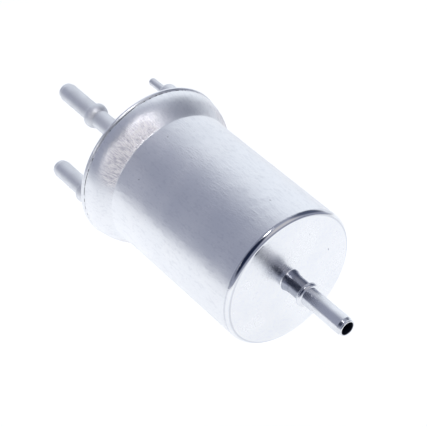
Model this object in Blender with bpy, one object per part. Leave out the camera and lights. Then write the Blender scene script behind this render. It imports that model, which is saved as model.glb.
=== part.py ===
"""Inline fuel filter with a pressure regulator inside its head.

A drawn aluminium can holds a pleated element round a core tube. Fuel comes in through the
inlet tube in the head cover, passes the pleats inwards and leaves through the outlet tube at
the far end. A diaphragm regulator in the head spills surplus fuel to the return tube.

Every piece is modelled standing on the can's axis, with its own +Z towards the outlet and +X
towards the inlet tube. The empty can_axis then lays the whole assembly down along world +X.
The world origin is on the axis, in the middle of the straight wall where a clamp band sits.
Lengths below are millimetres, and radii are from the piece's own axis.
"""

import math

import bmesh
import bpy
from mathutils import Matrix, Vector

MM = 0.001
PORT_ROLL = math.radians(35.1)  # the inlet tube leans this far from straight up, towards -Y
GAP = 0.3                       # between pieces that touch on the real object

# Can
CAN_RADIUS = 30.5
CAN_WALL = 1.25
OUTLET_FACE = 38.0
CORNER_RADIUS = 2.2
NECK_RADIUS, NECK_FILLET = 4.9, 1.3      # plunged neck round the outlet tube
SHOULDER_START, SHOULDER_END = -36.3, -48.6
SHOULDER_RADIUS, SHOULDER_POWER = 35.2, 1.15
RIM_PLANE = -50.4
RIM_RADIUS = 35.73
BEAD_SECTION = 1.0                       # section radius of the rolled rim
LIP_WALL = 0.9
LIP_RADIUS = 32.9

# Head cover
COVER_OUTSIDE, COVER_INSIDE = -50.2, -49.0
COVER_RADIUS = 33.6
CROWN_RADIUS, CROWN_RISE = 15.0, 3.0
COLLAR_RADIUS, COLLAR_FILLET, COLLAR_TOP = 5.3, 1.0, -53.7

# Spigots, 8 mm quick-connect ends
TUBE_RADIUS = 3.945
TUBE_BORE = 2.8
TUBE_HOLE = TUBE_RADIUS + 0.355
TUBE_BEAD_RADIUS, TUBE_BEAD_HALF = 5.35, 1.35
PORT_RADIUS = 26.5                       # of the circle through the head's three fittings
INLET_TIP, RETURN_TIP = -89.7, -88.4
PORT_BEAD = -68.5
OUTLET_TIP = 71.6
OUTLET_BEAD = 48.5

# Earth stud
STUD_RADIUS, STUD_TOP_RADIUS, STUD_DOME = 5.0, 4.45, -69.2
PIN_RADIUS, PIN_TIP = 1.75, -80.4
STUD_SHANK = 2.5

# Element
ELEMENT_TOP, ELEMENT_BOTTOM = 30.7, -17.9
CORE_INNER, CORE_OUTER = 12.4, 13.6
MEDIA_INNER, MEDIA_OUTER = 14.1, 26.6
MEDIA_THICKNESS, PLEATS = 0.5, 40
END_CAP_RADIUS, END_CAP_THICKNESS = 27.3, 1.8
SOCKET_BORE, SOCKET_WALL = 6.35, 1.4

# Regulator
CARRIER_FLOOR = -38.6                    # inside face of the carrier's cup
CUP_INNER, CUP_OUTER = 16.6, 18.4
FLANGE_RADIUS = 15.6
SHEET = 0.9                              # wall of the regulator's pressed shells
DIAPHRAGM_FACE, DIAPHRAGM_THICKNESS = -26.2, 0.5
SPRING_RADIUS, SPRING_WIRE = 5.2, 0.6
SPRING_LOW, SPRING_HIGH = -28.7, -36.2   # centre of the wire at its two ends
SLEEVE_BORE, SLEEVE_RADIUS = 1.3, 2.4
BALL_RADIUS, BALL_CENTRE = 1.8, -22.5

OUTER_STEPS, INNER_STEPS, TUBE_STEPS = 40, 20, 16


def clear_scene():
    for obj in list(bpy.data.objects):
        bpy.data.objects.remove(obj)


def material(name, colour, metallic, roughness):
    made = bpy.data.materials.new(name)
    made.use_nodes = True
    shader = made.node_tree.nodes["Principled BSDF"]
    shader.inputs["Base Color"].default_value = (*colour, 1.0)
    shader.inputs["Metallic"].default_value = metallic
    shader.inputs["Roughness"].default_value = roughness
    return made


def empty(name, parent=None, location=(0, 0, 0), rotation=None):
    made = bpy.data.objects.new(name, None)
    made.empty_display_size = 10 * MM
    bpy.context.collection.objects.link(made)
    made.parent = parent
    made.location = Vector(location) * MM
    if rotation is not None:
        made.rotation_euler = rotation.to_euler()
    return made


def add_object(name, mesh, parent, look, at=(0, 0, 0)):
    made = bpy.data.objects.new(name, mesh)
    bpy.context.collection.objects.link(made)
    made.parent = parent
    made.location = Vector(at) * MM
    if look is not None:
        mesh.materials.append(look)
    return made


def add_modifier(obj, kind, **settings):
    modifier = obj.modifiers.new(kind.title(), kind)
    for name, value in settings.items():
        setattr(modifier, name, value)


def bake(obj, smooth_below=35):
    """Turns the object's modifiers into its mesh, and shades it smooth up to sharp edges."""
    bpy.context.view_layer.update()
    shaped = obj.evaluated_get(bpy.context.evaluated_depsgraph_get())
    mesh = bpy.data.meshes.new_from_object(shaped)
    obj.modifiers.clear()
    obj.data = mesh
    mesh.shade_smooth()
    mesh.set_sharp_from_angle(angle=math.radians(smooth_below))


def combine(obj, others, operation):
    """Unites with or cuts away each of the others, and then removes them."""
    for other in others:
        add_modifier(obj, "BOOLEAN", object=other, operation=operation, solver="EXACT")
    bake(obj)
    for other in others:
        bpy.data.objects.remove(other)


def arc(r, z, radius, start, end, count):
    """Points (r, z) on an arc, from one angle to another in degrees, 0 outwards and 90 up."""
    turns = [math.radians(start + (end - start) * i / count) for i in range(count + 1)]
    return [(r + radius * math.cos(turn), z + radius * math.sin(turn)) for turn in turns]


def signed_area(outline):
    return sum(a[0] * b[1] - b[0] * a[1] for a, b in zip(outline, outline[1:] + outline[:1])) / 2


def turned(name, outline, parent, look, at=(0, 0, 0), steps=INNER_STEPS):
    """A body of revolution about its own Z. An outline that starts and ends on the axis is solid."""
    if signed_area(outline) > 0:
        outline = outline[::-1]
    points = [(r * MM, 0, z * MM) for r, z in outline]
    edges = [(i, i + 1) for i in range(len(points) - 1)]
    if not outline[0][0] == outline[-1][0] == 0:
        edges.append((len(points) - 1, 0))
    mesh = bpy.data.meshes.new(name)
    mesh.from_pydata(points, edges, [])
    made = add_object(name, mesh, parent, look, at)
    add_modifier(made, "SCREW", angle=2 * math.pi, steps=steps, render_steps=steps, axis="Z",
                 use_merge_vertices=True, merge_threshold=0.00001)
    bake(made)
    return made


def ring(name, r, z, section, parent, look, at=(0, 0, 0), steps=INNER_STEPS):
    """An O-ring: a torus of the given section radius round its own Z."""
    return turned(name, arc(r, z, section, 0, 360, 6)[:-1], parent, look, at, steps)


def cylinder(radius, low, high, parent, at=(0, 0, 0), steps=INNER_STEPS):
    """A plain tool for Booleans, turned by half a facet so that no edge meets another piece's edge."""
    outline = [(0, high), (radius, high), (radius, low), (0, low)]
    tool = turned("tool", outline, parent, None, at, steps)
    tool.rotation_euler.z = math.pi / steps
    return tool


def box(low, high, parent):
    """A plain tool for Booleans, between two corners."""
    low, high = Vector(low) * MM, Vector(high) * MM
    shape = bmesh.new()
    bmesh.ops.create_cube(shape, size=1.0)
    bmesh.ops.scale(shape, vec=high - low, verts=shape.verts)
    bmesh.ops.translate(shape, vec=(low + high) / 2, verts=shape.verts)
    mesh = bpy.data.meshes.new("tool")
    shape.to_mesh(mesh)
    shape.free()
    return add_object("tool", mesh, parent, None)


def faceted(name, points, faces, parent, look):
    """A closed body from its own faces, all turned outwards."""
    mesh = bpy.data.meshes.new(name)
    mesh.from_pydata([Vector(point) * MM for point in points], [], faces)
    shape = bmesh.new()
    shape.from_mesh(mesh)
    bmesh.ops.recalc_face_normals(shape, faces=shape.faces)
    shape.to_mesh(mesh)
    shape.free()
    made = add_object(name, mesh, parent, look)
    bake(made)
    return made


def shoulder(inset, count):
    """The flare from the straight wall out to the rim, steepest at its start, moved inwards by inset."""
    points = []
    for i in range(count + 1):
        part = i / count
        flare = (SHOULDER_RADIUS - CAN_RADIUS) * math.sin(math.pi / 2 * part) ** SHOULDER_POWER
        points.append((CAN_RADIUS + flare - inset, SHOULDER_START + (SHOULDER_END - SHOULDER_START) * part))
    return points


def filter_can(parent, look):
    """One drawn cup: neck, end wall, side wall, shoulder and the rim rolled over the cover."""
    bead_r = RIM_RADIUS - BEAD_SECTION
    crease = math.degrees(math.acos((SHOULDER_RADIUS - bead_r) / BEAD_SECTION))
    lip_face = RIM_PLANE - BEAD_SECTION
    inner_corner = CORNER_RADIUS - 1.0
    inside = CAN_RADIUS - CAN_WALL
    end_inside = OUTLET_FACE - CAN_WALL
    outline = [(TUBE_HOLE, OUTLET_FACE + NECK_FILLET)]
    outline += arc(NECK_RADIUS + NECK_FILLET, OUTLET_FACE + NECK_FILLET, NECK_FILLET, 180, 270, 3)
    outline += arc(CAN_RADIUS - CORNER_RADIUS, OUTLET_FACE - CORNER_RADIUS, CORNER_RADIUS, 90, 0, 5)
    outline += shoulder(0, 8)
    outline += arc(bead_r, RIM_PLANE, BEAD_SECTION, crease, -90, 6)
    outline += arc(LIP_RADIUS + LIP_WALL / 2, lip_face + LIP_WALL / 2, LIP_WALL / 2, 270, 90, 2)
    outline += [(SHOULDER_RADIUS - CAN_WALL, lip_face + LIP_WALL)]
    outline += shoulder(CAN_WALL, 5)[::-1]
    outline += arc(inside - inner_corner, end_inside - inner_corner, inner_corner, 0, 90, 2)
    outline += arc(TUBE_HOLE + 1.2, end_inside + 1.2, 1.2, 270, 180, 2)
    return turned("filter_can", outline, parent, look, steps=OUTER_STEPS)


def head_cover(parent, look):
    """The pressed cover: a flat flange under the rolled rim, a raised crown and two tube collars."""
    slope = CROWN_RISE
    outline = [(0, COVER_INSIDE - CROWN_RISE), (CROWN_RADIUS, COVER_INSIDE - CROWN_RISE),
               (CROWN_RADIUS + slope, COVER_INSIDE), (COVER_RADIUS, COVER_INSIDE),
               (COVER_RADIUS, COVER_OUTSIDE), (CROWN_RADIUS + slope + 0.5, COVER_OUTSIDE),
               (CROWN_RADIUS + 0.5, COVER_OUTSIDE - CROWN_RISE), (0, COVER_OUTSIDE - CROWN_RISE)]
    cover = turned("head_cover", outline, parent, look, steps=OUTER_STEPS)
    # The fillet's wide end is sunk a little below the cover's face, so that the two unite cleanly.
    wide, sunk = COLLAR_RADIUS + COLLAR_FILLET, 0.1
    collar = [(0, COVER_INSIDE - 0.5), (wide, COVER_INSIDE - 0.5)]
    collar += arc(wide, COVER_OUTSIDE - COLLAR_FILLET + sunk, COLLAR_FILLET, 90, 180, 3)
    collar += [(COLLAR_RADIUS, COLLAR_TOP), (0, COLLAR_TOP)]
    tube_places = [(PORT_RADIUS, 0, 0), (0, PORT_RADIUS, 0)]
    collars = [turned("tool", collar, parent, None, place, TUBE_STEPS) for place in tube_places]
    combine(cover, collars, "UNION")
    holes = [cylinder(TUBE_HOLE, COLLAR_TOP - 2, COVER_INSIDE + 2, parent, place, TUBE_STEPS)
             for place in tube_places]
    holes.append(cylinder(STUD_SHANK + GAP, COLLAR_TOP, COVER_INSIDE + 2, parent, (0, -PORT_RADIUS, 0),
                          TUBE_STEPS))
    combine(cover, holes, "DIFFERENCE")
    return cover


def spigot(name, seat, tip, bead, inner_end, parent, look, at=(0, 0, 0), neck=None):
    """A tube fixed in a wall by a small flange inside it, with a retaining bead and a tapered end.

    seat is the flange's face under the wall. neck is (radius, bore) of a narrower inner end.
    """
    out = 1 if tip > seat else -1
    flange_back = seat - out * 1.0
    inner_radius, inner_bore = neck or (TUBE_RADIUS, TUBE_BORE)
    rise = TUBE_BEAD_RADIUS - TUBE_RADIUS
    outline = [(inner_radius, inner_end), (inner_radius, flange_back), (TUBE_RADIUS + 0.85, flange_back),
               (TUBE_RADIUS + 0.85, seat), (TUBE_RADIUS, seat)]
    outline += [(TUBE_RADIUS + rise * math.sin(turn), bead - out * TUBE_BEAD_HALF * math.cos(turn))
                for turn in [math.pi * i / 6 for i in range(7)]]
    # A lead-in taper, a rounded edge and a flat ring at the mouth.
    outline += [(TUBE_RADIUS, tip - out * 3.2), (TUBE_RADIUS - 0.3, tip - out * 0.6),
                (TUBE_RADIUS - 0.55, tip), (TUBE_BORE + 0.15, tip), (TUBE_BORE, tip - out * 0.15),
                (TUBE_BORE, flange_back)]
    if neck:
        outline += [(inner_bore, flange_back)]
    outline += [(inner_bore, inner_end)]
    return turned(name, outline, parent, look, at, TUBE_STEPS)


def earth_stud(parent, look):
    """A turned stud riveted through the cover, with a slim pin on a domed boss."""
    outline = [(0, -47.5), (3.4, -47.5), (3.4, COVER_INSIDE + GAP), (STUD_SHANK, COVER_INSIDE + GAP),
               (STUD_SHANK, COVER_OUTSIDE - GAP), (STUD_RADIUS, COVER_OUTSIDE - GAP),
               (STUD_TOP_RADIUS, STUD_DOME)]
    outline += [(PIN_RADIUS + (STUD_TOP_RADIUS - PIN_RADIUS) * math.cos(turn), STUD_DOME - 1.9 * math.sin(turn))
                for turn in [math.pi / 8 * i for i in range(1, 5)]]
    outline += [(PIN_RADIUS, PIN_TIP + 1.2), (PIN_RADIUS - 0.4, PIN_TIP + 0.35), (PIN_RADIUS - 1.0, PIN_TIP),
                (0, PIN_TIP)]
    return turned("earth_stud", outline, parent, look, (0, -PORT_RADIUS, 0), TUBE_STEPS)


def pleated_media(parent, look):
    """A paper band folded into a star, as one closed ribbon."""
    inner, outer = [], []
    half = MEDIA_THICKNESS / 2
    for i in range(2 * PLEATS):
        turn = math.pi * i / PLEATS
        crest = i % 2 == 0
        radius = MEDIA_OUTER if crest else MEDIA_INNER
        # The band keeps its thickness along the flanks, so the folds are pushed apart further.
        reach = half * (MEDIA_OUTER - MEDIA_INNER) / (math.pi / PLEATS * (MEDIA_OUTER + MEDIA_INNER) / 2)
        reach = min(reach, 0.4)
        for line, shift in ((inner, -reach), (outer, reach)):
            line.append(((radius + shift) * math.cos(turn), (radius + shift) * math.sin(turn)))
    low, high = ELEMENT_BOTTOM, ELEMENT_TOP
    count = 2 * PLEATS
    points = [(x, y, z) for z in (low, high) for line in (inner, outer) for x, y in line]
    faces = []
    for i in range(count):
        j = (i + 1) % count
        in_low, out_low, in_high, out_high = 0, count, 2 * count, 3 * count
        faces.append((out_low + i, out_low + j, out_high + j, out_high + i))
        faces.append((in_low + j, in_low + i, in_high + i, in_high + j))
        faces.append((in_high + i, out_high + i, out_high + j, in_high + j))
        faces.append((in_low + j, out_low + j, out_low + i, in_low + i))
    return faceted("pleated_media", points, faces, parent, look)


def core_tube(parent, look):
    """The plastic tube inside the pleats, with rows of windows right through it."""
    low, high = ELEMENT_BOTTOM, ELEMENT_TOP
    outline = [(CORE_INNER, low), (CORE_OUTER, low), (CORE_OUTER, high), (CORE_INNER, high)]
    tube = turned("core_tube", outline, parent, look)
    rows, tools = 5, []
    pitch = (high - low) / rows
    for row in range(rows):
        middle = low + pitch * (row + 0.5)
        for i in range(3):
            tool = box((-CORE_OUTER - 2, -2.2, middle - 3.2), (CORE_OUTER + 2, 2.2, middle + 3.2), parent)
            tool.rotation_euler.z = math.pi / 3 * i + math.pi / 6 * (row % 2)
            tools.append(tool)
    combine(tube, tools, "DIFFERENCE")
    return tube


def end_caps(parent, look):
    """The two moulded discs that the pleats are bonded into."""
    low, high = ELEMENT_TOP + GAP, ELEMENT_TOP + GAP + END_CAP_THICKNESS
    socket = SOCKET_BORE + SOCKET_WALL
    outline = [(END_CAP_RADIUS, low), (END_CAP_RADIUS, high), (socket, high), (socket, high + 1.2),
               (SOCKET_BORE, high + 1.2), (SOCKET_BORE, 26.5), (4.6, 26.5), (4.6, 25.5), (socket, 25.5),
               (socket, low)]
    turned("outlet_end_cap", outline, parent, look)
    high, low = ELEMENT_BOTTOM - GAP, ELEMENT_BOTTOM - GAP - END_CAP_THICKNESS
    hole = CORE_INNER - 0.3
    outline = [(hole, high), (END_CAP_RADIUS, high), (END_CAP_RADIUS, low), (21.6, low), (21.6, -27.6),
               (20.2, -27.6), (20.2, low), (hole, low)]
    turned("head_end_cap", outline, parent, look)


def element_spring(parent, look):
    """A wave washer between the outlet end cap and the can's end wall."""
    waves, steps, inner, outer = 3, 36, 15.0, 20.0
    middle, swing, half = 34.8, 1.1, 0.3
    points, faces = [], []
    for i in range(steps):
        turn = 2 * math.pi * i / steps
        z = middle + swing * math.sin(waves * turn)
        for r, lift in ((inner, -half), (outer, -half), (outer, half), (inner, half)):
            points.append((r * math.cos(turn), r * math.sin(turn), z + lift))
        for k in range(4):
            here, after = 4 * i, 4 * ((i + 1) % steps)
            faces.append((here + k, after + k, after + (k + 1) % 4, here + (k + 1) % 4))
    faceted("element_spring", points, faces, parent, look)


def regulator_carrier(parent, look):
    """The moulding that holds the regulator in a cup and ducts its spill to the return tube."""
    back = CARRIER_FLOOR - 2.4
    outline = [(0, CARRIER_FLOOR), (13.6, CARRIER_FLOOR), (13.6, -29.5), (CUP_INNER, -29.5),
               (CUP_INNER, -20.6), (CUP_OUTER, -20.6), (CUP_OUTER, -22.4), (19.9, -22.4), (19.9, -23.4),
               (CUP_OUTER, -23.4), (CUP_OUTER, -26.0), (19.9, -26.0), (19.9, -27.0), (CUP_OUTER, -27.0),
               (CUP_OUTER, back), (0, back)]
    carrier = turned("regulator_carrier", outline, parent, look)
    combine(carrier, [
        box((-6.0, -5.0, -45.4), (5.5, 29.3, back + 0.4), parent),
        cylinder(5.2, -46.8, -43.5, parent, (0, PORT_RADIUS, 0), 26),
        cylinder(7.0, -51.7, -45.0, parent, steps=26),
    ], "UNION")
    combine(carrier, [
        box((-3.0, -3.0, -44.0), (3.0, 28.2, -41.6), parent),
        cylinder(4.6, -48.0, -42.4, parent, (0, PORT_RADIUS, 0), 16),
        cylinder(2.6, -42.4, CARRIER_FLOOR + 1, parent, steps=16),
        cylinder(4.5, -53.0, -47.0, parent, steps=16),
    ], "DIFFERENCE")
    return carrier


def regulator_shells(parent, look):
    """The two pressed shells that clamp the diaphragm, with holes that let the fuel through."""
    clamp_in = DIAPHRAGM_FACE + GAP
    outline = [(FLANGE_RADIUS, clamp_in), (FLANGE_RADIUS, clamp_in + SHEET), (10.8, clamp_in + SHEET),
               (10.8, -20.2), (10.2, -19.6), (0, -19.6), (0, -20.4), (9.8, -20.4), (9.8, clamp_in)]
    base = turned("regulator_base", outline, parent, look)
    holes = [cylinder(1.3, -22, -18, parent, (6.6 * math.cos(turn), 6.6 * math.sin(turn), 0), 10)
             for turn in [math.tau * i / 6 for i in range(6)]]
    combine(base, holes, "DIFFERENCE")
    clamp_out = DIAPHRAGM_FACE - DIAPHRAGM_THICKNESS - GAP
    top = SPRING_HIGH - SPRING_WIRE - GAP
    outline = [(FLANGE_RADIUS, clamp_out), (10.6, clamp_out), (10.6, -29.6), (8.4, -31.0), (8.4, top),
               (0, top), (0, top - SHEET), (8.8, top - SHEET), (9.3, top - 0.4), (9.3, -31.6),
               (11.5, -30.2), (11.5, clamp_out - SHEET), (FLANGE_RADIUS, clamp_out - SHEET)]
    bonnet = turned("regulator_bonnet", outline, parent, look)
    holes = [cylinder(1.2, top - 2, top + 1, parent, (3.4 * math.cos(turn), 3.4 * math.sin(turn), 0), 10)
             for turn in [math.tau * i / 3 for i in range(3)]]
    combine(bonnet, holes, "DIFFERENCE")


def diaphragm(parent, look):
    """A rubber disc with one rolled convolution between its clamped edge and its centre."""
    face, back = DIAPHRAGM_FACE, DIAPHRAGM_FACE - DIAPHRAGM_THICKNESS
    roll = [(7.5 + 2.6 * i / 4, 1.0 * math.sin(math.pi * i / 4)) for i in range(5)]
    outline = [(2.7, face)] + [(r, face - lift) for r, lift in roll] + [(15.2, face), (15.2, back)]
    outline += [(r, back - lift) for r, lift in roll[::-1]] + [(2.7, back)]
    turned("diaphragm", outline, parent, look)


def moving_valve(parent, steel, brass):
    """The sleeve and cup that are riveted together through the diaphragm and lift off the ball."""
    under = DIAPHRAGM_FACE + GAP
    outline = [(SLEEVE_BORE, -28.8), (3.6, -28.8), (3.6, -28.1), (SLEEVE_RADIUS, -28.1),
               (SLEEVE_RADIUS, under), (6.8, under), (6.8, under + 0.8), (SLEEVE_RADIUS, under + 0.8),
               (SLEEVE_RADIUS, -24.1), (SLEEVE_BORE, -24.1)]
    turned("valve_sleeve", outline, parent, brass)
    over = DIAPHRAGM_FACE - DIAPHRAGM_THICKNESS - GAP
    outline = [(2.7, over), (7.0, over), (7.0, -29.3), (6.4, -29.3), (6.4, over - 0.8), (2.7, over - 0.8)]
    turned("diaphragm_cup", outline, parent, steel)


def regulator_spring(parent, look):
    """A compression spring with closed ends, as a curve with a round bevel."""
    end_turns, end_pitch, turns, per_turn = 0.8, 1.4, 4.6, 12
    free = (SPRING_LOW - SPRING_HIGH - 2 * end_turns * end_pitch) / (turns - 2 * end_turns)
    curve = bpy.data.curves.new("regulator_spring", "CURVE")
    curve.dimensions = "3D"
    curve.bevel_depth = SPRING_WIRE * MM
    curve.bevel_resolution = 1
    curve.use_fill_caps = True
    count = int(turns * per_turn) + 1
    spline = curve.splines.new("POLY")
    spline.points.add(count - 1)
    for i in range(count):
        turn = turns * i / (count - 1)
        closed = min(turn, end_turns) + max(turn - (turns - end_turns), 0)
        height = SPRING_LOW - closed * end_pitch - (turn - closed) * free
        angle = math.tau * turn
        spline.points[i].co = (SPRING_RADIUS * math.cos(angle) * MM, SPRING_RADIUS * math.sin(angle) * MM,
                               height * MM, 1)
    made = add_object("regulator_spring", curve, parent, look)
    return made


def regulator_clip(parent, look):
    """A snap ring that keeps the regulator in its cup, open on one side."""
    opening, steps, inner, outer, low, high = math.radians(40), 22, 14.2, 16.3, -24.7, -23.8
    points, faces = [], []
    for i in range(steps + 1):
        turn = opening / 2 + (math.tau - opening) * i / steps
        section = ((inner, low), (outer, low), (outer, high), (inner, high))
        points += [(r * math.cos(turn), r * math.sin(turn), z) for r, z in section]
    for i in range(steps):
        faces += [(4 * i + k, 4 * i + (k + 1) % 4, 4 * i + 4 + (k + 1) % 4, 4 * i + 4 + k) for k in range(4)]
    faces += [(3, 2, 1, 0), (4 * steps, 4 * steps + 1, 4 * steps + 2, 4 * steps + 3)]
    faceted("regulator_clip", points, faces, parent, look)


def valve_ball(parent, look):
    shape = bmesh.new()
    bmesh.ops.create_icosphere(shape, subdivisions=2, radius=BALL_RADIUS * MM)
    mesh = bpy.data.meshes.new("valve_ball")
    shape.to_mesh(mesh)
    shape.free()
    bake(add_object("valve_ball", mesh, parent, look, (0, 0, BALL_CENTRE)))


def build():
    clear_scene()
    aluminium = material("satin_aluminium", (0.72, 0.73, 0.76), 1.0, 0.36)
    drawn = material("drawn_aluminium", (0.78, 0.79, 0.81), 1.0, 0.3)
    steel = material("zinc_steel", (0.6, 0.6, 0.58), 1.0, 0.35)
    wire = material("spring_steel", (0.45, 0.46, 0.48), 1.0, 0.3)
    brass = material("brass", (0.75, 0.55, 0.25), 1.0, 0.3)
    paper = material("filter_paper", (0.8, 0.66, 0.42), 0.0, 0.95)
    nylon = material("nylon", (0.06, 0.06, 0.065), 0.0, 0.5)
    cap_nylon = material("cap_nylon", (0.75, 0.74, 0.7), 0.0, 0.5)
    rubber = material("seal_rubber", (0.03, 0.03, 0.03), 0.0, 0.7)
    screen = material("screen_nylon", (0.85, 0.85, 0.8), 0.0, 0.8)

    lean, lay = Matrix.Rotation(PORT_ROLL, 3, "X"), Matrix.Rotation(math.pi / 2, 3, "Y")
    can_axis = empty("can_axis", rotation=lean @ lay @ Matrix.Rotation(math.pi, 3, "Z"))

    filter_can(can_axis, aluminium)
    head_cover(can_axis, drawn)
    ring("cover_seal", 32.6, -47.9, 0.8, can_axis, rubber, steps=OUTER_STEPS)

    outlet_seat = OUTLET_FACE - CAN_WALL - GAP
    spigot("outlet_tube", outlet_seat, OUTLET_TIP, OUTLET_BEAD, 26.9, can_axis, aluminium)
    seat = COVER_INSIDE + GAP
    spigot("inlet_tube", seat, INLET_TIP, PORT_BEAD, -46.4, can_axis, aluminium, (PORT_RADIUS, 0, 0))
    spigot("return_tube", seat, RETURN_TIP, PORT_BEAD, -44.6, can_axis, aluminium, (0, PORT_RADIUS, 0),
           neck=(3.1, 2.4))
    earth_stud(can_axis, drawn)

    pleated_media(can_axis, paper)
    core_tube(can_axis, cap_nylon)
    end_caps(can_axis, cap_nylon)
    ring("outlet_seal", 5.15, 28.5, 0.85, can_axis, rubber)
    element_spring(can_axis, wire)

    regulator_carrier(can_axis, nylon)
    ring("carrier_seal", 19.3, -24.7, 0.6, can_axis, rubber)
    ring("return_seal", 3.85, -45.5, 0.4, can_axis, rubber, (0, PORT_RADIUS, 0))
    ring("regulator_seal", 15.0, -28.75, 0.45, can_axis, rubber)
    regulator_shells(can_axis, steel)
    diaphragm(can_axis, rubber)
    strainer = [(11.1, -24.4), (11.6, -24.4), (11.6, -18.8), (0, -18.8), (0, -19.3), (11.1, -19.3)]
    turned("regulator_strainer", strainer, can_axis, screen)
    regulator_clip(can_axis, wire)
    valve_ball(can_axis, wire)
    regulator_spring(can_axis, wire)

    valve_slide = empty("valve_slide", can_axis)
    moving_valve(valve_slide, steel, brass)


build()
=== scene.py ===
"""Looks of the inline fuel filter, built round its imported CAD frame.

The can's axis is the world X axis, with the outlet tube towards +X. The fine meshes below are
turned from outlines in millimetres, as (radius, x) pairs, and replace the coarser CAD solids
that can be seen. The parts inside the closed can keep their CAD meshes and get materials.
"""

import math

import bmesh
import bpy
from mathutils import Matrix, Vector


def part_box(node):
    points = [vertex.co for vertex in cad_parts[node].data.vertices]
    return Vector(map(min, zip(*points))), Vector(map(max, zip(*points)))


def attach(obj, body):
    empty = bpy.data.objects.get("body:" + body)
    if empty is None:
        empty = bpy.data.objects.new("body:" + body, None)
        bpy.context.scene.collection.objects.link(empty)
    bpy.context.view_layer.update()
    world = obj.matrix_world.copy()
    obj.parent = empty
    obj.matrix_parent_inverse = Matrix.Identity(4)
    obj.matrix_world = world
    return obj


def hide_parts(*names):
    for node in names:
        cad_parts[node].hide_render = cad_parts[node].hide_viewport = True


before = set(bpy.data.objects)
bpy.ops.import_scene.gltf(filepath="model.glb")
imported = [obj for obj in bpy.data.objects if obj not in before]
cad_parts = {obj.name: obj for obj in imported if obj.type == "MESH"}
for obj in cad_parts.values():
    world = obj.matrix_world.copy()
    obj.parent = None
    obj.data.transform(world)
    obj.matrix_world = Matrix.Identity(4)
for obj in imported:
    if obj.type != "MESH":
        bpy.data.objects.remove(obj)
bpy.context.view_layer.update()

MM = 0.001
FINE_STEPS, TUBE_STEPS = 192, 96         # segments round the can and cover, and round the tubes
TURNED_SHARP, CUT_SHARP = math.radians(40), math.radians(30)

# From here to the camera, lengths are in millimetres, and a place that is one number is an x.

# Can
CAN_RADIUS, CAN_WALL = 30.5, 1.25
OUTLET_FACE, CORNER_RADIUS = 38.0, 2.2
NECK_RADIUS, NECK_FILLET, NECK_TOP = 4.6, 0.45, 41.6
SHOULDER_START, SHOULDER_END = -36.3, -48.6
SHOULDER_RADIUS, SHOULDER_POWER = 35.2, 1.15
RIM_PLANE, RIM_RADIUS, BEAD_SECTION = -50.4, 35.73, 1.0
SEAM = 0.3                               # depth of the seam between shoulder and rolled rim
LIP_WALL, LIP_RADIUS = 0.9, 32.9

# The can's finish. Two numbers are where it starts and is full, and four are those and then
# where it begins to fade and ends: places, or radii where the name says so.
MARKS_BAND = (SHOULDER_START, SHOULDER_START - 0.7, -40.4, -47.2)
# One patch of marks sits where the shoulder catches the light, and its pale colour there is a painted
# highlight.
MARKS_HIGHLIGHT_AT = math.radians(44)              # the middle of one patch of draw marks, from the top
MARKS_PATCHES = 3
END_WALL_FROM = (35.5, 37.5)
CORNER_FROM, CORNER_RADII = (35.5, 35.9), (27.5, 28.5)
WALL_LINE = (35.55, 35.95, 36.1, 36.9)   # the dull line on the wall beside the corner
FACE_LINE_FROM, FACE_LINE_RADII = (36.9, 37.1), (28.55, 28.95, 29.2, 29.7)
# The seam's painted shade in its groove: places, then radii.
SEAM_SHADE_BAND, SEAM_SHADE_RADII = (-49.85, -49.7, -49.3, -49.15), (35.22, 35.05)
# Where the neck's painted shade starts.
NECK_SHADE_FROM = (38.15, 38.6)

# Head cover
COVER_OUTSIDE, COVER_INSIDE, COVER_RADIUS = -50.2, -49.0, 33.6
CROWN_RADIUS, CROWN_RISE = 15.0, 3.0
COLLAR_RADIUS, COLLAR_FILLET, COLLAR_TOP = 5.3, 1.0, -53.7

# Tubes and stud
TUBE_RADIUS, TUBE_BORE = 3.945, 2.8
TUBE_HOLE = TUBE_RADIUS + 0.355
TUBE_BEAD_RADIUS, TUBE_BEAD_HALF = 5.35, 1.35
FLANGE_RISE, FLANGE_WALL = 0.85, 1.0
INLET_TIP, RETURN_TIP, PORT_BEAD, PORT_RUN_OUT = -89.7, -88.4, -68.5, 2.2
# The outlet tube is painted darker from x 39 to 48, as shade between the can's end and its bead.
OUTLET_TIP, OUTLET_BEAD, OUTLET_SHADE = 71.6, 48.5, (39, 48)
OUTLET_INNER_END, INLET_INNER_END, RETURN_INNER_END = 26.9, -46.4, -44.6
RETURN_NECK = (3.1, 2.4)                 # radius and bore of the return tube's inner end
STUD_RADIUS, STUD_TOP_RADIUS, STUD_SHANK = 5.0, 4.45, 2.5
STUD_DOME, STUD_DOME_HEIGHT = -69.2, 1.9
RIVET_RADIUS, RIVET_END = 3.4, -47.5
PIN_RADIUS, PIN_TIP = 1.75, -80.4
GAP = 0.3                                # clearance between neighbouring parts


def centre_of(name):
    """(y, z) of the middle of a CAD node, in millimetres."""
    low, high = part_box(name)
    return (low.y + high.y) / 2 / MM, (low.z + high.z) / 2 / MM


INLET_AT, RETURN_AT, STUD_AT = map(centre_of, ("inlet_tube", "return_tube", "earth_stud"))


# ---------------------------------------------------------------- camera

AZIMUTH, ELEVATION = math.radians(52.15), math.radians(41.06)
# In metres. The aim is on the can's axis, and then a little to the picture's right and up.
DISTANCE, AIM_ALONG, AIM_RIGHT, AIM_UP = 0.6854, -0.0084, -0.0007, 0.0013
SENSOR_WIDTH, LENS = 36.0, 144.8


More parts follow.
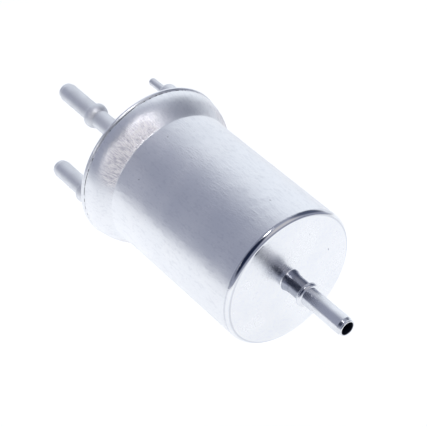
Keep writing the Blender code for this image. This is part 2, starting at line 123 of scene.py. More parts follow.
def place_camera():
    """The azimuth is from -Y towards +X, as seen from above."""
    back = Vector((math.sin(AZIMUTH) * math.cos(ELEVATION), -math.cos(AZIMUTH) * math.cos(ELEVATION),
                   math.sin(ELEVATION)))
    right = Vector((math.cos(AZIMUTH), math.sin(AZIMUTH), 0))
    aim = Vector((AIM_ALONG, 0, 0)) + right * AIM_RIGHT + back.cross(right) * AIM_UP
    data = bpy.data.cameras.new("camera")
    data.sensor_width, data.lens = SENSOR_WIDTH, LENS
    data.clip_start, data.clip_end = 0.01, 50.0
    camera = bpy.data.objects.new("camera", data)
    bpy.context.scene.collection.objects.link(camera)
    camera.location = aim + back * DISTANCE
    camera.rotation_euler = (-back).to_track_quat("-Z", "Y").to_euler()
    bpy.context.scene.camera = camera


# ---------------------------------------------------------------- node helpers

def node(tree, kind, inputs=None, **settings):
    """Adds a shader node. An input's value is a socket, which is linked, or a constant."""
    made = tree.nodes.new(kind)
    for name, value in settings.items():
        setattr(made, name, value)
    for name, value in (inputs or {}).items():
        if isinstance(value, bpy.types.NodeSocket):
            tree.links.new(value, made.inputs[name])
        else:
            made.inputs[name].default_value = value
    return made


def maths(tree, operation, a, b=0.0, clamp=False):
    """One sum, with its result kept from 0 to 1 if clamp is true."""
    return node(tree, "ShaderNodeMath", {0: a, 1: b}, operation=operation, use_clamp=clamp).outputs[0]


def times(tree, first, *others):
    """The product of the values, multiplied in order."""
    for other in others:
        first = maths(tree, "MULTIPLY", first, other)
    return first


def ranged(tree, value, low, high, to_low=0.0, to_high=1.0):
    """A value moved smoothly from the range low..high to the range to_low..to_high."""
    made = node(tree, "ShaderNodeMapRange", {0: value, 1: low, 2: high, 3: to_low, 4: to_high},
                interpolation_type="SMOOTHSTEP")
    return made.outputs[0]


def ranged_mm(tree, value, low, high, to_low=0.0, to_high=1.0):
    """As ranged, for a length in metres and a range in millimetres."""
    return ranged(tree, value, low * MM, high * MM, to_low, to_high)


def band(tree, value, start, full, fading, end):
    """1 where a length in metres is from full to fading, and 0 before start and after end.

    These four are in millimetres.
    """
    return times(tree, ranged_mm(tree, value, start, full), ranged_mm(tree, value, fading, end, 1.0, 0.0))


def mixed(tree, factor, a, b):
    """Two colours mixed by a factor, 0 for the first."""
    made = node(tree, "ShaderNodeMix", data_type="RGBA")
    for index, value in ((0, factor), (6, a), (7, b)):
        if isinstance(value, bpy.types.NodeSocket):
            tree.links.new(value, made.inputs[index])
        else:
            made.inputs[index].default_value = value if index == 0 else (*value, 1.0)
    return made.outputs[2]


def own_place(tree):
    """The shaded point in the object's own coordinates, in metres."""
    return node(tree, "ShaderNodeTexCoord").outputs["Object"]


def own_parts(tree):
    """The x, y and z of own_place."""
    return node(tree, "ShaderNodeSeparateXYZ", {0: own_place(tree)}).outputs


def place_of(tree, scale=(1, 1, 1)):
    """The object's own coordinates, stretched by a scale."""
    return node(tree, "ShaderNodeMapping", {"Vector": own_place(tree), "Scale": scale}).outputs[0]


def noise(tree, place, scale, detail=2.0, rough=0.5):
    """Cloudy noise from 0 to 1, at so many cells per unit of place."""
    return node(tree, "ShaderNodeTexNoise",
                {"Vector": place, "Scale": scale, "Detail": detail, "Roughness": rough}).outputs["Fac"]


def bumped(tree, height, distance, normal=None):
    """A normal roughened by a height, on top of another normal if there is one."""
    inputs = {"Height": height, "Distance": distance, "Strength": 1.0}
    if normal is not None:
        inputs["Normal"] = normal
    return node(tree, "ShaderNodeBump", inputs).outputs[0]


def blank(name):
    """A new material, its tree and its Principled shader."""
    made = bpy.data.materials.new(name)
    made.use_nodes = True
    return made, made.node_tree, made.node_tree.nodes["Principled BSDF"]


def connect(tree, shader, **inputs):
    """Sets a shader's inputs, with _ for each space in their names."""
    for name, value in inputs.items():
        socket = shader.inputs[name.replace("_", " ")]
        if isinstance(value, bpy.types.NodeSocket):
            tree.links.new(value, socket)
        else:
            socket.default_value = value


# ---------------------------------------------------------------- metals

def along_can(tree, lengthwise, around):
    """Coordinates for draw marks: lengthwise cells along X and finer ones round the axis."""
    return place_of(tree, (lengthwise, around, around))


def axial(tree):
    """(x, radius) of the shaded point, in metres."""
    x, y, z = own_parts(tree)
    return x, maths(tree, "SQRT", maths(tree, "ADD", times(tree, y, y), times(tree, z, z)))


def meridians(tree, lengthwise, around):
    """As along_can, with the place pushed onto the can's wall, so that marks run up the flare."""
    x, y, z = own_parts(tree)
    radius = axial(tree)[1]
    push = maths(tree, "DIVIDE", around * CAN_RADIUS * MM, maths(tree, "MAXIMUM", radius, MM))
    pushed = {0: times(tree, x, lengthwise), 1: times(tree, y, push), 2: times(tree, z, push)}
    return node(tree, "ShaderNodeCombineXYZ", pushed).outputs[0]


def turning(tree, lobes, start):
    """A wave of so many lobes round the can's axis, one of them centred at start.

    The start is in radians from the top towards -Y.
    """
    y, z = own_parts(tree)[1:]
    angle = maths(tree, "ARCTAN2", times(tree, y, -1.0), z)
    return maths(tree, "COSINE", times(tree, maths(tree, "SUBTRACT", angle, start), float(lobes)))


def can_finish():
    """Satin drawn aluminium: a fine wrinkled grain, and draw marks on the shoulder whose pale colour is
    partly a painted highlight.
    """
    made, tree, shader = blank("can_satin_aluminium")
    x, radius = axial(tree)
    plain = place_of(tree)
    grain = noise(tree, plain, 3400.0, 3.0, 0.6)
    clouds = noise(tree, plain, 55.0, 3.0, 0.55)
    fine_wrinkles = noise(tree, along_can(tree, 600.0, 1300.0), 1.0, 2.0, 0.6)
    long_wrinkles = noise(tree, along_can(tree, 190.0, 620.0), 1.0, 3.0, 0.65)
    wrinkles = times(tree, maths(tree, "ADD", fine_wrinkles, long_wrinkles), 0.5)
    streaks = noise(tree, meridians(tree, 480.0, 2400.0), 1.0, 3.0, 0.65)

    # The marks start sharply where the wall ends and fade before the rim, in patches round the
    # shoulder, where the forming tool's rubbing left them. Their pale, partly non-metal colour is also a
    # painted highlight, and one patch is set where the shoulder catches the light.
    drawn = band(tree, x, *MARKS_BAND)
    uneven = ranged(tree, clouds, 0.3, 0.7, -0.5, 0.5)
    wave = maths(tree, "ADD", turning(tree, MARKS_PATCHES, MARKS_HIGHLIGHT_AT), uneven)
    marks_and_highlight = times(tree, drawn, ranged(tree, wave, -0.4, 0.6))
    # The end wall is smoother and has no marks along X.
    on_wall = ranged_mm(tree, x, *END_WALL_FROM, 1.0, 0.0)
    corner = times(tree, ranged_mm(tree, x, *CORNER_FROM), ranged_mm(tree, radius, *CORNER_RADII))

    specks = ranged(tree, noise(tree, plain, 700.0, 0.0), 0.86, 0.89)
    scratch_field = noise(tree, along_can(tree, 80.0, 1100.0), 1.0, 1.0)
    scratches = times(tree, ranged(tree, scratch_field, 0.76, 0.80), on_wall)

    base = mixed(tree, ranged(tree, clouds, 0.3, 0.7), (0.83, 0.845, 0.875), (0.88, 0.89, 0.91))
    shown = ranged(tree, on_wall, 0.0, 1.0, 0.08, 0.25)
    grained = times(tree, ranged(tree, grain, 0.3, 0.75), shown)
    base = mixed(tree, grained, base, (0.72, 0.74, 0.79))
    lined = times(tree, ranged(tree, wrinkles, 0.50, 0.62), shown)
    base = mixed(tree, lined, base, (0.58, 0.60, 0.66))
    # The patches' near-white colour paints a highlight onto the shoulder's draw marks.
    marks_highlight_tone = mixed(tree, ranged(tree, streaks, 0.4, 0.6), (0.62, 0.61, 0.66), (1.0, 0.985, 0.98))
    base = mixed(tree, marks_and_highlight, base, marks_highlight_tone)
    base = mixed(tree, times(tree, scratches, 0.3), base, (0.45, 0.47, 0.52))
    base = mixed(tree, times(tree, specks, 0.5), base, (0.20, 0.21, 0.24))
    # The seam between shoulder and rim is painted nearly black, in dashes: painted shade in its groove.
    seam_shade = times(tree, band(tree, x, *SEAM_SHADE_BAND), ranged_mm(tree, radius, *SEAM_SHADE_RADII))
    dashes = ranged(tree, noise(tree, plain, 520.0, 2.0), 0.46, 0.56)
    base = mixed(tree, times(tree, seam_shade, dashes), base, (0.05, 0.055, 0.07))
    # The neck is painted darker and bluer: painted shade in the hollow between the end wall and the
    # outlet tube.
    neck = ranged_mm(tree, x, *NECK_SHADE_FROM)
    base = mixed(tree, times(tree, neck, 0.8), base, (0.33, 0.35, 0.43))
    # A darker, duller line on either side of the corner.
    face_line = times(tree, band(tree, radius, *FACE_LINE_RADII), ranged_mm(tree, x, *FACE_LINE_FROM))
    lines = maths(tree, "ADD", band(tree, x, *WALL_LINE), face_line)
    base = mixed(tree, times(tree, lines, 0.5), base, (0.50, 0.52, 0.57))

    rough = ranged(tree, clouds, 0.25, 0.75, 0.30, 0.37)
    rough = maths(tree, "ADD", rough, ranged(tree, wrinkles, 0.3, 0.7, -0.02, 0.03))
    rough = maths(tree, "ADD", rough, times(tree, drawn, 0.10))
    rough = maths(tree, "SUBTRACT", rough, times(tree, corner, 0.17))
    rough = maths(tree, "SUBTRACT", rough, ranged(tree, on_wall, 0.0, 1.0, 0.09, 0.0), clamp=True)
    # The patches are made partly non-metal and pale, so that they scatter light from all round like
    # chalk: a painted highlight on the shoulder.
    highlight_diffuse = times(tree, marks_and_highlight, ranged(tree, streaks, 0.38, 0.62, 0.3, 0.75))
    metal = maths(tree, "SUBTRACT", 1.0, highlight_diffuse)

    relief = ranged(tree, on_wall, 0.0, 1.0, 0.02, 1.0)
    normal = bumped(tree, times(tree, grain, relief), 0.000006)
    depth = times(tree, relief, ranged(tree, noise(tree, plain, 110.0), 0.35, 0.65, 0.4, 1.4))
    normal = bumped(tree, times(tree, wrinkles, depth), 0.00012, normal=normal)
    ridges = maths(tree, "SUBTRACT", streaks, 0.5)
    normal = bumped(tree, times(tree, ridges, marks_and_highlight), 0.00022, normal=normal)
    connect(tree, shader, Base_Color=base, Roughness=rough, Normal=normal, Metallic=metal)
    return made


def tube_finish(name, tint, roughness, seed, bore=TUBE_BORE, shade_stretch=None):
    """Cold-formed aluminium: rings from the forming roll, fine lines along it, and a bore painted dark as
    shade.

    A stretch from the first to the second x given, in millimetres, is painted darker as well: painted
    shade, as between the can's end and the outlet's bead. The seed shifts the clouds, so that no two
    tubes have the same ones.
    """
    made, tree, shader = blank(name)
    plain = place_of(tree)
    grain = noise(tree, plain, 3000.0, 3.0, 0.6)
    clouds = noise(tree, place_of(tree, (150.0 + seed, 210.0, 210.0)), 1.0, 2.0)
    rings = noise(tree, place_of(tree, (2600.0, 90.0, 90.0)), 1.0, 2.0)
    draw = noise(tree, place_of(tree, (70.0, 1400.0, 1400.0)), 1.0, 2.0)
    base = mixed(tree, ranged(tree, clouds, 0.3, 0.7), tint, tuple(0.93 * part for part in tint))
    base = mixed(tree, ranged(tree, grain, 0.35, 0.75, 0.0, 0.22), base, (0.68, 0.70, 0.75))
    x, radius = axial(tree)
    # Painted shade: the stretch is made darker and bluer, as shade falls between the can's end and the
    # bead.
    if shade_stretch:
        dark = band(tree, x, shade_stretch[0] - 1, shade_stretch[0], shade_stretch[1] - 1.5, shade_stretch[1])
        base = mixed(tree, times(tree, dark, 0.62), base, (0.26, 0.28, 0.36))
    # The bore is painted nearly black: painted shade inside the tube.
    shaded_bore = ranged_mm(tree, radius, bore + 0.12, bore)
    base = mixed(tree, shaded_bore, base, (0.045, 0.055, 0.085))
    rough = ranged(tree, clouds, 0.25, 0.75, roughness - 0.03, roughness + 0.04)
    rough = maths(tree, "ADD", rough, times(tree, shaded_bore, 0.3), clamp=True)
    rough = maths(tree, "ADD", rough, ranged(tree, draw, 0.3, 0.7, -0.015, 0.03))
    normal = bumped(tree, grain, 0.00001)
    normal = bumped(tree, rings, 0.000006, normal=normal)
    normal = bumped(tree, draw, 0.00001, normal=normal)
    connect(tree, shader, Base_Color=base, Roughness=rough, Normal=normal, Metallic=1.0)
    return made


def cover_finish(name):
    """Pressed aluminium plate: even grain, flow rings round the crown and scuffs."""
    made, tree, shader = blank(name)
    plain = place_of(tree)
    grain = noise(tree, plain, 2200.0, 3.0, 0.6)
    clouds = noise(tree, plain, 70.0, 3.0)
    outwards = node(tree, "ShaderNodeCombineXYZ", {0: times(tree, axial(tree)[1], 2400.0)}).outputs[0]
    rings = noise(tree, outwards, 1.0, 2.0)
    scuffs = ranged(tree, noise(tree, place_of(tree, (300.0, 1200.0, 160.0)), 1.0, 2.0), 0.62, 0.72)
    base = mixed(tree, ranged(tree, clouds, 0.3, 0.7), (0.86, 0.875, 0.90), (0.92, 0.93, 0.95))
    base = mixed(tree, ranged(tree, grain, 0.35, 0.75, 0.0, 0.28), base, (0.72, 0.74, 0.78))
    base = mixed(tree, times(tree, scuffs, 0.18), base, (0.55, 0.57, 0.6))
    rough = ranged(tree, clouds, 0.25, 0.75, 0.26, 0.34)
    rough = maths(tree, "ADD", rough, times(tree, scuffs, 0.08))
    normal = bumped(tree, grain, 0.000014)
    normal = bumped(tree, rings, 0.000008, normal=normal)
    connect(tree, shader, Base_Color=base, Roughness=rough, Normal=normal, Metallic=1.0)
    return made


# ---------------------------------------------------------------- fine meshes

def arc(r, x, radius, start, end, count):
    """Points (r, x) on an arc, from one angle to another in degrees, 0 outwards and 90 towards +X."""
    turns = [math.radians(start + (end - start) * i / count) for i in range(count + 1)]
    return [(r + radius * math.cos(turn), x + radius * math.sin(turn)) for turn in turns]


def rounded(corners, count=4):
    """An outline from corners (r, x, radius): a corner with a radius becomes a tangent arc."""
    outline = []
    total = len(corners)
    for i, (r, x, radius) in enumerate(corners):
        if not radius:
            outline.append((r, x))
            continue
        here = Vector((r, x))
        before, after = Vector(corners[i - 1][:2]), Vector(corners[(i + 1) % total][:2])
        one, two = (before - here).normalized(), (after - here).normalized()
        half = one.angle(two) / 2
        middle = here + (one + two).normalized() * (radius / math.sin(half))
        first = here + one * (radius / math.tan(half)) - middle
        last = here + two * (radius / math.tan(half)) - middle
        turn = first.angle_signed(last)
        for k in range(count + 1):
            spin = Matrix.Rotation(-turn * k / count, 2)
            outline.append(tuple(middle + spin @ first))
    return outline


def turned(name, outline, at=(0, 0), steps=TUBE_STEPS):
    """A closed body turned about a line along X through at. An outline's points are (r, x)."""
    shape = bmesh.new()
    points = [shape.verts.new((x * MM, 0, r * MM)) for r, x in outline]
    edges = [shape.edges.new((a, b)) for a, b in zip(points, points[1:] + points[:1])
             if not (a.co.z == b.co.z == 0)]
    bmesh.ops.spin(shape, geom=points + edges, axis=(1, 0, 0), cent=(0, 0, 0), steps=steps,
                   angle=math.tau, use_merge=False)
    bmesh.ops.remove_doubles(shape, verts=shape.verts, dist=1e-6)
    bmesh.ops.dissolve_degenerate(shape, edges=shape.edges, dist=1e-8)
    bmesh.ops.recalc_face_normals(shape, faces=shape.faces)
    mesh = bpy.data.meshes.new(name)
    shape.to_mesh(mesh)
    shape.free()
    mesh.shade_smooth()
    mesh.set_sharp_from_angle(angle=TURNED_SHARP)
    made = bpy.data.objects.new(name, mesh)
    made.location = (0, at[0] * MM, at[1] * MM)
    bpy.context.scene.collection.objects.link(made)
    return made


def combined(body, others, operation):
    """Unites the body with the others or cuts them away, and then removes them."""
    for other in others:
        modifier = body.modifiers.new("combine", "BOOLEAN")
        modifier.object, modifier.operation, modifier.solver = other, operation, "EXACT"
    bpy.context.view_layer.update()
    mesh = bpy.data.meshes.new_from_object(body.evaluated_get(bpy.context.evaluated_depsgraph_get()))
    body.modifiers.clear()
    body.data = mesh
    mesh.shade_smooth()
    mesh.set_sharp_from_angle(angle=CUT_SHARP)
    for other in others:
        bpy.data.objects.remove(other)


def finished(piece, look, slot, *replaced):
    """Gives a fine piece its material and its place in the frame."""
    piece.data.materials.clear()
    piece.data.materials.append(look)
    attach(piece, "root")
    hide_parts(*replaced)


def shoulder(inset, count):
    """The flare from the straight wall out to the rim, moved inwards by inset."""
    points = []
    for i in range(count + 1):
        part = i / count
        flare = (SHOULDER_RADIUS - CAN_RADIUS) * math.sin(math.pi / 2 * part) ** SHOULDER_POWER
        x = SHOULDER_START + (SHOULDER_END - SHOULDER_START) * part
        points.append((CAN_RADIUS + flare - inset, x))
    return points


def can_shell():
    """The can: neck, end wall, straight wall, shoulder, rolled rim and the lip under it."""
    bead_r = RIM_RADIUS - BEAD_SECTION
    crease = math.degrees(math.acos((SHOULDER_RADIUS - SEAM - bead_r) / BEAD_SECTION))
    crease_x = RIM_PLANE + BEAD_SECTION * math.sin(math.radians(crease))
    lip_face = RIM_PLANE - BEAD_SECTION
    inner_corner = CORNER_RADIUS - 1.0
    inside, end_inside = CAN_RADIUS - CAN_WALL, OUTLET_FACE - CAN_WALL
    # The neck thins in a hollow curve, and its lip stops just short of the tube.
    neck_foot, neck_lip = OUTLET_FACE + NECK_FILLET, TUBE_RADIUS + 0.03
    outline = [(TUBE_HOLE, neck_foot), (neck_lip, neck_foot + 0.2)]
    for i in range(10, 0, -1):
        part = i / 10
        outline.append((neck_lip + 0.02 + (NECK_RADIUS - neck_lip) * (1 - part) ** 2,
                        neck_foot + (NECK_TOP - neck_foot) * part))
    outline += arc(NECK_RADIUS + NECK_FILLET, neck_foot, NECK_FILLET, 180, 270, 12)
    outline += arc(CAN_RADIUS - CORNER_RADIUS, OUTLET_FACE - CORNER_RADIUS, CORNER_RADIUS, 90, 0, 16)
    outline += shoulder(0, 40)
    outline += arc(SHOULDER_RADIUS - 0.3, crease_x + 0.45, 0.3, 0, -70, 4)
    outline += arc(bead_r, RIM_PLANE, BEAD_SECTION, crease, -90, 20)
    outline += arc(LIP_RADIUS + LIP_WALL / 2, lip_face + LIP_WALL / 2, LIP_WALL / 2, 270, 90, 10)
    outline += [(SHOULDER_RADIUS - CAN_WALL, lip_face + LIP_WALL)]
    outline += shoulder(CAN_WALL, 20)[::-1]
    outline += arc(inside - inner_corner, end_inside - inner_corner, inner_corner, 0, 90, 6)
    outline += arc(TUBE_HOLE + 1.2, end_inside + 1.2, 1.2, 270, 180, 6)
    return turned("can_shell", outline, steps=FINE_STEPS)


def cover_plate():
    """The head cover: a plate with a raised crown, collars round the tubes and three holes."""
    out, inn = COVER_OUTSIDE, COVER_INSIDE
    foot = CROWN_RADIUS + CROWN_RISE
    outline = rounded([
        (0, inn - CROWN_RISE, 0), (CROWN_RADIUS, inn - CROWN_RISE, 0.8), (foot, inn, 0.8),
        (COVER_RADIUS, inn, 0.2), (COVER_RADIUS, out, 0.2), (foot + 0.5, out, 1.2),
        (CROWN_RADIUS + 0.5, out - CROWN_RISE, 1.2), (0, out - CROWN_RISE, 0)], 6)
    cover = turned("cover_plate", outline, steps=FINE_STEPS)
    # The fillet's wide end is sunk a little below the cover's face, so that the two unite cleanly.
    wide, sunk = COLLAR_RADIUS + COLLAR_FILLET, 0.1
    collar = [(0, inn - 0.5), (wide, inn - 0.5)]
    collar += arc(wide, out - COLLAR_FILLET + sunk, COLLAR_FILLET, 90, 180, 8)
    collar += arc(COLLAR_RADIUS - 0.25, COLLAR_TOP + 0.25, 0.25, 0, -90, 4) + [(0, COLLAR_TOP)]
    places = (INLET_AT, RETURN_AT)
    combined(cover, [turned("tool", collar, at) for at in places], "UNION")
    hole_radii = [(TUBE_HOLE, at) for at in places] + [(STUD_SHANK + GAP, STUD_AT)]
    holes = []
    for radius, at in hole_radii:
        drill = [(0, COLLAR_TOP - 2), (radius, COLLAR_TOP - 2), (radius, inn + 2), (0, inn + 2)]
        tool = turned("tool", drill, at)
        tool.rotation_euler.x = math.pi / TUBE_STEPS
        holes.append(tool)
    combined(cover, holes, "DIFFERENCE")
    return cover


def spigot(name, seat, tip, bead, inner_end, at=(0, 0), neck=None, run_out=0.0):
    """A tube with an inner flange, a retaining bead and a chamfered, rounded end.

    The bead is steep towards the tip. Its back eases down to the tube over its own half width
    and the run-out. The neck is the radius and the bore behind the flange, if they are narrower.
    """
    out = 1 if tip > seat else -1
    flange_back, flange_radius = seat - out * FLANGE_WALL, TUBE_RADIUS + FLANGE_RISE
    inner_radius, inner_bore = neck or (TUBE_RADIUS, TUBE_BORE)
    rise = TUBE_BEAD_RADIUS - TUBE_RADIUS
    start = [(inner_radius, inner_end, 0.15), (inner_radius, flange_back, 0),
             (flange_radius, flange_back, 0.2), (flange_radius, seat, 0.2), (TUBE_RADIUS, seat, 0)]
    bead_points = []
    for i in range(25):
        turn = math.pi * i / 24
        back = max(math.cos(turn), 0)
        bead_points.append((TUBE_RADIUS + rise * math.sin(turn) ** (1 + 0.6 * back),
                            bead - out * (TUBE_BEAD_HALF * math.cos(turn) + run_out * back), 0))
    end = [(TUBE_RADIUS, tip - out * 2.0, 0.6), (TUBE_RADIUS - 0.42, tip - out * 0.8, 0.4),
           (TUBE_RADIUS - 0.5, tip, 0.35), (TUBE_BORE + 0.1, tip, 0.1), (TUBE_BORE, tip - out * 0.35, 0),
           (TUBE_BORE, flange_back, 0)]
    if neck:
        end += [(inner_bore, flange_back, 0)]
    end += [(inner_bore, inner_end, 0)]
    return turned(name, rounded(start + bead_points + end), at)


def earth_pin():
    """A turned stud with a domed boss and a slim, round-ended pin."""
    rivet_seat, boss_seat = COVER_INSIDE + GAP, COVER_OUTSIDE - GAP
    outline = rounded([
        (0, RIVET_END, 0), (RIVET_RADIUS, RIVET_END, 0.2), (RIVET_RADIUS, rivet_seat, 0),
        (STUD_SHANK, rivet_seat, 0), (STUD_SHANK, boss_seat, 0), (STUD_RADIUS, boss_seat, 0.3),
        (STUD_TOP_RADIUS, STUD_DOME, 0)])
    for i in range(1, 13):
        turn = math.pi / 24 * i
        outline.append((PIN_RADIUS + (STUD_TOP_RADIUS - PIN_RADIUS) * math.cos(turn),
                        STUD_DOME - STUD_DOME_HEIGHT * math.sin(turn)))
    outline += arc(PIN_RADIUS - 1.0, PIN_TIP + 1.0, 1.0, 0, -90, 8) + [(0, PIN_TIP)]
    return turned("earth_pin", outline, STUD_AT)


# ---------------------------------------------------------------- inner parts

def moulded(name, colour, other, roughness, grain_scale, bump, specular=0.5):
    """Moulded plastic or rubber: flow clouds, fine texture and a slight sheen."""
    made, tree, shader = blank(name)
    plain = place_of(tree)
    clouds, grain = noise(tree, plain, 180.0, 3.0), noise(tree, plain, grain_scale, 2.0)
    base = mixed(tree, ranged(tree, clouds, 0.3, 0.7), colour, other)
    rough = ranged(tree, grain, 0.3, 0.7, roughness - 0.05, roughness + 0.07)
    connect(tree, shader, Base_Color=base, Roughness=rough, Normal=bumped(tree, grain, bump),
            Specular_IOR_Level=specular)
    return made


def paper_finish():
    """Resin-treated filter paper: matted fibres, lighter and darker flecks."""
    made, tree, shader = blank("filter_paper_fibre")
    fibres = noise(tree, place_of(tree, (2600.0, 700.0, 700.0)), 1.0, 3.0, 0.7)
    crossing = noise(tree, place_of(tree, (500.0, 2600.0, 1900.0)), 1.0, 3.0, 0.7)
    clouds = noise(tree, place_of(tree), 140.0, 3.0)
    both = times(tree, maths(tree, "ADD", fibres, crossing), 0.5)
    base = mixed(tree, ranged(tree, clouds, 0.3, 0.7), (0.72, 0.55, 0.31), (0.80, 0.66, 0.42))
    base = mixed(tree, ranged(tree, both, 0.4, 0.6, 0.0, 0.5), base, (0.60, 0.43, 0.22))
    rough = ranged(tree, both, 0.35, 0.65, 0.85, 0.98)
    connect(tree, shader, Base_Color=base, Roughness=rough, Normal=bumped(tree, both, 0.00008),
            Sheen_Weight=0.15)
    return made


def screen_finish():
    """Woven nylon screen: threads crossing at right angles."""
    made, tree, shader = blank("screen_nylon_weave")
    waves = [maths(tree, "ABSOLUTE", maths(tree, "SINE", times(tree, part, 5200.0)))
             for part in own_parts(tree)[1:]]
    threads = maths(tree, "MAXIMUM", *waves)
    base = mixed(tree, ranged(tree, threads, 0.5, 0.95), (0.30, 0.30, 0.27), (0.86, 0.86, 0.81))
    rough = ranged(tree, threads, 0.5, 1.0, 0.85, 0.6)
    connect(tree, shader, Base_Color=base, Roughness=rough, Normal=bumped(tree, threads, 0.00006))
    return made


def plated(name, colour, other, roughness, scale):
    """Plated or drawn metal: mottled plating, fine drawing lines and small pits."""
    made, tree, shader = blank(name)
    plain = place_of(tree)
    clouds, grain = noise(tree, plain, 240.0, 3.0), noise(tree, plain, 3200.0, 3.0)
    lines = noise(tree, place_of(tree, scale), 1.0, 2.0)
    base = mixed(tree, ranged(tree, clouds, 0.3, 0.7), colour, other)
    pits = ranged(tree, grain, 0.62, 0.75, 0.0, 0.5)
    base = mixed(tree, pits, base, tuple(0.6 * part for part in colour))
    rough = maths(tree, "ADD", ranged(tree, clouds, 0.25, 0.75, roughness - 0.05, roughness + 0.06),
                  ranged(tree, lines, 0.3, 0.7, -0.02, 0.04))
    normal = bumped(tree, lines, 0.00001, normal=bumped(tree, grain, 0.00001))
    connect(tree, shader, Base_Color=base, Roughness=rough, Normal=normal, Metallic=1.0)
    return made


def finish_inner_parts():
    """Gives the CAD meshes inside the can their materials."""
    rubber = moulded("seal_rubber_matt", (0.020, 0.020, 0.021), (0.034, 0.034, 0.035), 0.62, 1900.0,
                     0.00002, 0.35)
    black = moulded("black_nylon_glass", (0.030, 0.031, 0.034), (0.048, 0.049, 0.053), 0.46, 1500.0,
                    0.00002)
    natural = moulded("cap_nylon_natural", (0.72, 0.70, 0.63), (0.80, 0.79, 0.74), 0.44, 1300.0,
                      0.000015)
    zinc = plated("zinc_steel_passivated", (0.62, 0.61, 0.55), (0.58, 0.60, 0.62), 0.33,
                  (900.0, 900.0, 120.0))
    spring = plated("spring_steel_drawn", (0.42, 0.43, 0.46), (0.50, 0.50, 0.51), 0.28,
                    (1800.0, 200.0, 200.0))
    brass = plated("brass_turned", (0.78, 0.57, 0.25), (0.72, 0.50, 0.20), 0.24, (2600.0, 90.0, 90.0))
    looks = {
        paper_finish(): ["pleated_media"],
        natural: ["core_tube", "outlet_end_cap", "head_end_cap"],
        rubber: ["cover_seal", "outlet_seal", "carrier_seal", "return_seal", "regulator_seal",
                 "diaphragm"],
        black: ["regulator_carrier"],
        screen_finish(): ["regulator_strainer"],
        spring: ["element_spring", "regulator_clip", "regulator_spring", "valve_ball"],
        zinc: ["regulator_base", "regulator_bonnet", "diaphragm_cup"],
        brass: ["valve_sleeve"],
    }
    for look, names in looks.items():
        for name in names:
            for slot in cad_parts[name].material_slots:
                slot.material = look


# ---------------------------------------------------------------- studio

# In metres. The floor is just under the rim.
FLOOR_Z, FLOOR_RADIUS, FLOOR_DIMMING_FROM = -0.0359, 0.42, 0.2


def towards(azimuth, elevation):
    """A direction from degrees: the azimuth anticlockwise from +X and the elevation from level."""
    turn, rise = math.radians(azimuth), math.radians(elevation)
    return math.cos(turn) * math.cos(rise), math.sin(turn) * math.cos(rise), math.sin(rise)


def studio_floor():
    """A plain white floor that glows a little, so that only a faint shadow shows on it."""
    shape = bmesh.new()
    bmesh.ops.create_circle(shape, cap_ends=True, segments=128, radius=FLOOR_RADIUS)
    mesh = bpy.data.meshes.new("studio_floor")
    shape.to_mesh(mesh)
    shape.free()
    floor = bpy.data.objects.new("studio_floor", mesh)
    floor.location.z = FLOOR_Z
    bpy.context.scene.collection.objects.link(floor)
    made, tree, shader = blank("studio_floor_white")
    reach = node(tree, "ShaderNodeVectorMath", {0: own_place(tree)}, operation="LENGTH").outputs["Value"]
    glow = ranged(tree, reach, FLOOR_DIMMING_FROM, FLOOR_RADIUS, 0.88, 0.50)
    connect(tree, shader, Base_Color=(0.42, 0.43, 0.44, 1), Roughness=0.9, Specular_IOR_Level=0.0,
            Emission_Color=(0.98, 0.99, 1.0, 1), Emission_Strength=glow)
    mesh.materials.append(made)


def studio_light():
    """A bright overhead softbox and a white backdrop in a darker room, as soft-edged areas of sky.

    Each area is (azimuth, elevation, inner radius, outer radius, colour), in degrees. Later areas
    lie over earlier ones. The camera sees plain white instead.
    """
    areas = [
        (135, 8, 16, 72, (1.02, 1.06, 1.12)),
        (22, 36, 8, 32, (0.58, 0.57, 0.60)),
        (80, 30, 9, 34, (0.08, 0.095, 0.15)),
        (-56, 39, 24, 41, (0.012, 0.018, 0.045)),
        (-42, 77, 3, 7, (5.4, 5.3, 5.2)),
    ]
    world = bpy.data.worlds.new("studio")
    world.use_nodes = True
    tree = world.node_tree
    direction = node(tree, "ShaderNodeTexCoord").outputs["Generated"]
    sky = (0.32, 0.34, 0.43)
    for azimuth, elevation, inner, outer, colour in areas:
        middle = towards(azimuth, elevation)
        near = node(tree, "ShaderNodeVectorMath", {0: direction, 1: middle}, operation="DOT_PRODUCT")
        edge, full = math.cos(math.radians(outer)), math.cos(math.radians(inner))
        sky = mixed(tree, ranged(tree, near.outputs["Value"], edge, full), sky, colour)
    background = tree.nodes["Background"]
    seen = node(tree, "ShaderNodeLightPath").outputs["Is Camera Ray"]
    tree.links.new(mixed(tree, seen, sky, (1.0, 1.0, 1.0)), background.inputs["Color"])
    bpy.context.scene.world = world
    bpy.context.scene.view_settings.view_transform = "Standard"


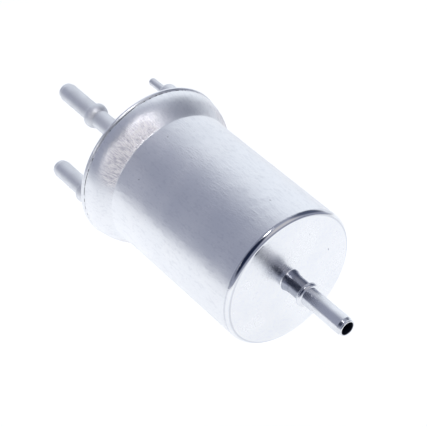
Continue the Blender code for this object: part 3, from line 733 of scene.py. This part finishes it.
def shoulder_cards():
    """Small warm softboxes with narrow grids, close by, which light only the shoulder.

    Each is (lit point in millimetres, azimuth and elevation of the card from it, radiance). The
    size and the distance are in metres. A grid this narrow makes a card 3 / half_spread ** 2
    times as bright, so its power is divided by that.
    """
    size, away, half_spread = 0.09, 0.3, math.radians(10)
    cards = [((-43, -26, 22), -80, 27, 11.0), ((-42, -12, 31), -25, 71, 23.0)]
    for index, (point, azimuth, elevation, radiance) in enumerate(cards):
        data = bpy.data.lights.new(f"card_{index}", "AREA")
        data.shape, data.size, data.color = "SQUARE", size, (1.0, 0.97, 0.95)
        data.spread = 2 * half_spread
        data.energy = radiance * math.pi * size * size * half_spread ** 2 / 3
        card = bpy.data.objects.new(f"card_{index}", data)
        back = Vector(towards(azimuth, elevation))
        card.location = Vector(point) * MM + back * away
        card.rotation_euler = (-back).to_track_quat("-Z", "Y").to_euler()
        card.visible_camera = False
        bpy.context.scene.collection.objects.link(card)


# ---------------------------------------------------------------- assembly

place_camera()
studio_light()
shoulder_cards()
studio_floor()

outlet_seat, head_seat = OUTLET_FACE - CAN_WALL - GAP, COVER_INSIDE + GAP
tube_tint, pin_tint = (0.83, 0.845, 0.875), (0.81, 0.825, 0.85)
NO_BORE = -1.0

finished(can_shell(), can_finish(), "can_aluminium", "filter_can")
finished(cover_plate(), cover_finish("cover_pressed_aluminium"), "cover_aluminium", "head_cover")
finished(spigot("outlet_spigot", outlet_seat, OUTLET_TIP, OUTLET_BEAD, OUTLET_INNER_END),
         tube_finish("outlet_tube_aluminium", tube_tint, roughness=0.23, seed=0.0, shade_stretch=OUTLET_SHADE),
         "tube_aluminium", "outlet_tube")
finished(spigot("inlet_spigot", head_seat, INLET_TIP, PORT_BEAD, INLET_INNER_END, INLET_AT,
                run_out=PORT_RUN_OUT),
         tube_finish("inlet_tube_aluminium", tube_tint, roughness=0.54, seed=11.0),
         "tube_aluminium", "inlet_tube")
finished(spigot("return_spigot", head_seat, RETURN_TIP, PORT_BEAD, RETURN_INNER_END, RETURN_AT,
                neck=RETURN_NECK, run_out=PORT_RUN_OUT),
         tube_finish("return_tube_aluminium", tube_tint, roughness=0.54, seed=23.0),
         "tube_aluminium", "return_tube")
finished(earth_pin(),
         tube_finish("earth_pin_aluminium", pin_tint, roughness=0.46, seed=37.0, bore=NO_BORE),
         "stud_aluminium", "earth_stud")
finish_inner_parts()
